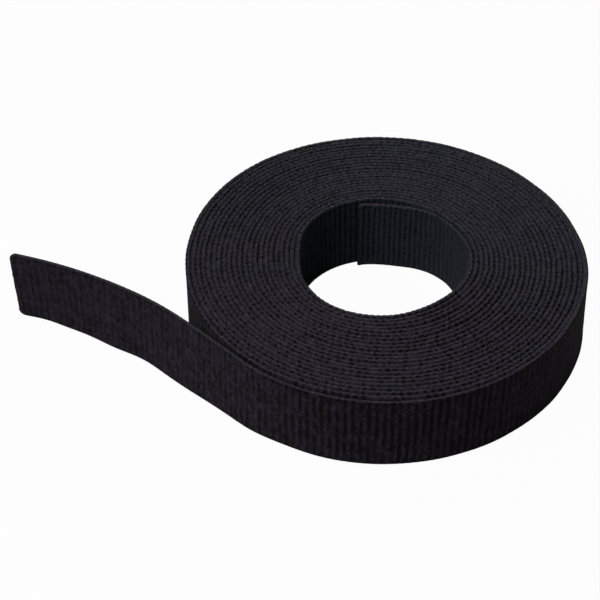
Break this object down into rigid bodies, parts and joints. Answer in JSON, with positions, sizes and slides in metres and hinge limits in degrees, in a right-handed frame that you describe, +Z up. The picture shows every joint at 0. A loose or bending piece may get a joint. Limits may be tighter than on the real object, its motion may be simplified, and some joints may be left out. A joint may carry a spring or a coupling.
{
  "type": "hook and loop tape roll",
  "caption": "Coreless roll of double-sided hook and loop tape lying flat, with a free outer tail, a free inner end and an open bore.",
  "frame": {"origin": "under the middle of the whole part, on the plane that the tape stands on", "axes": "+X along the longest extent, from the tail to the roll; +Z up along the tape width and the roll axis"},
  "size_m": [0.141, 0.0988, 0.02],
  "materials": {
    "loop_web": "matte black napped loop pile over a ribbed weave",
    "hook_web": "satin black woven ground with rows of hooks"
  },
  "bodies": {
    "roll": {"wound_loop_web": "loop_web", "wound_hook_web": "hook_web"},
    "inner_end_1": {"inner_end_1_loop_web": "loop_web", "inner_end_1_hook_web": "hook_web"},
    "inner_end_2": {"inner_end_2_loop_web": "loop_web", "inner_end_2_hook_web": "hook_web"},
    "inner_end_3": {"inner_end_3_loop_web": "loop_web", "inner_end_3_hook_web": "hook_web"},
    "tail_1": {"tail_1_loop_web": "loop_web", "tail_1_hook_web": "hook_web"},
    "tail_2": {"tail_2_loop_web": "loop_web", "tail_2_hook_web": "hook_web"},
    "tail_3": {"tail_3_loop_web": "loop_web", "tail_3_hook_web": "hook_web"},
    "tail_4": {"tail_4_loop_web": "loop_web", "tail_4_hook_web": "hook_web"},
    "tail_5": {"tail_5_loop_web": "loop_web", "tail_5_hook_web": "hook_web"},
    "tail_6": {"tail_6_loop_web": "loop_web", "tail_6_hook_web": "hook_web"},
    "tail_7": {"tail_7_loop_web": "loop_web", "tail_7_hook_web": "hook_web"},
    "tail_8": {"tail_8_loop_web": "loop_web", "tail_8_hook_web": "hook_web"}
  },
  "joints": [
    {"name": "tail_peel", "type": "hinge", "parent": "roll", "child": "tail_1", "pos_m": [-0.01229, -0.03636, 0.01], "axis": [0, 0, 1], "range_deg": [-5, 45], "stiffness_Nm_per_rad": 0.0008},
    {"name": "tail_curl", "type": "hinge", "parent": "tail_1", "child": "tail_2", "pos_m": [-0.01885, -0.03045, 0.01], "axis": [0, 0, 1], "range_deg": [-10.1, 18], "stiffness_Nm_per_rad": 0.0008},
    {"name": "tail_flex_3", "type": "hinge", "parent": "tail_2", "child": "tail_3", "pos_m": [-0.0254, -0.02455, 0.01], "axis": [0, 0, 1], "range_deg": [-10.79, 19.18], "stiffness_Nm_per_rad": 0.0008},
    {"name": "tail_flex_4", "type": "hinge", "parent": "tail_3", "child": "tail_4", "pos_m": [-0.03203, -0.01872, 0.01], "axis": [0, 0, 1], "range_deg": [-14.13, 25.14], "stiffness_Nm_per_rad": 0.0008},
    {"name": "tail_flex_5", "type": "hinge", "parent": "tail_4", "child": "tail_5", "pos_m": [-0.03904, -0.01337, 0.01], "axis": [0, 0, 1], "range_deg": [-14.6, 25.99], "stiffness_Nm_per_rad": 0.0008},
    {"name": "tail_flex_6", "type": "hinge", "parent": "tail_5", "child": "tail_6", "pos_m": [-0.04646, -0.00859, 0.01], "axis": [0, 0, 1], "range_deg": [-14.59, 25.97], "stiffness_Nm_per_rad": 0.0008},
    {"name": "tail_flex_7", "type": "hinge", "parent": "tail_6", "child": "tail_7", "pos_m": [-0.05423, -0.0044, 0.01], "axis": [0, 0, 1], "range_deg": [-14.58, 25.95], "stiffness_Nm_per_rad": 0.0008},
    {"name": "tail_flex_8", "type": "hinge", "parent": "tail_7", "child": "tail_8", "pos_m": [-0.0623, -0.00085, 0.01], "axis": [0, 0, 1], "range_deg": [-14.37, 25.57], "stiffness_Nm_per_rad": 0.0008},
    {"name": "inner_end_lift", "type": "hinge", "parent": "roll", "child": "inner_end_1", "pos_m": [0.03501, 0.01617, 0.01], "axis": [0, 0, 1], "range_deg": [0, 30], "stiffness_Nm_per_rad": 0.0008},
    {"name": "inner_end_flex_2", "type": "hinge", "parent": "inner_end_1", "child": "inner_end_2", "pos_m": [0.02885, 0.01911, 0.01], "axis": [0, 0, 1], "range_deg": [0, 30], "stiffness_Nm_per_rad": 0.0008},
    {"name": "inner_end_flex_3", "type": "hinge", "parent": "inner_end_2", "child": "inner_end_3", "pos_m": [0.02238, 0.0206, 0.01], "axis": [0, 0, 1], "range_deg": [0, 30], "stiffness_Nm_per_rad": 0.0008}
  ],
  "couplings": [
    {"joint": "tail_flex_3", "follows": "tail_curl", "ratio": 1.063},
    {"joint": "tail_flex_4", "follows": "tail_curl", "ratio": 1.394},
    {"joint": "tail_flex_5", "follows": "tail_curl", "ratio": 1.441},
    {"joint": "tail_flex_6", "follows": "tail_curl", "ratio": 1.44},
    {"joint": "tail_flex_7", "follows": "tail_curl", "ratio": 1.439},
    {"joint": "tail_flex_8", "follows": "tail_curl", "ratio": 1.418},
    {"joint": "inner_end_flex_2", "follows": "inner_end_lift", "ratio": 1},
    {"joint": "inner_end_flex_3", "follows": "inner_end_lift", "ratio": 1}
  ]
}
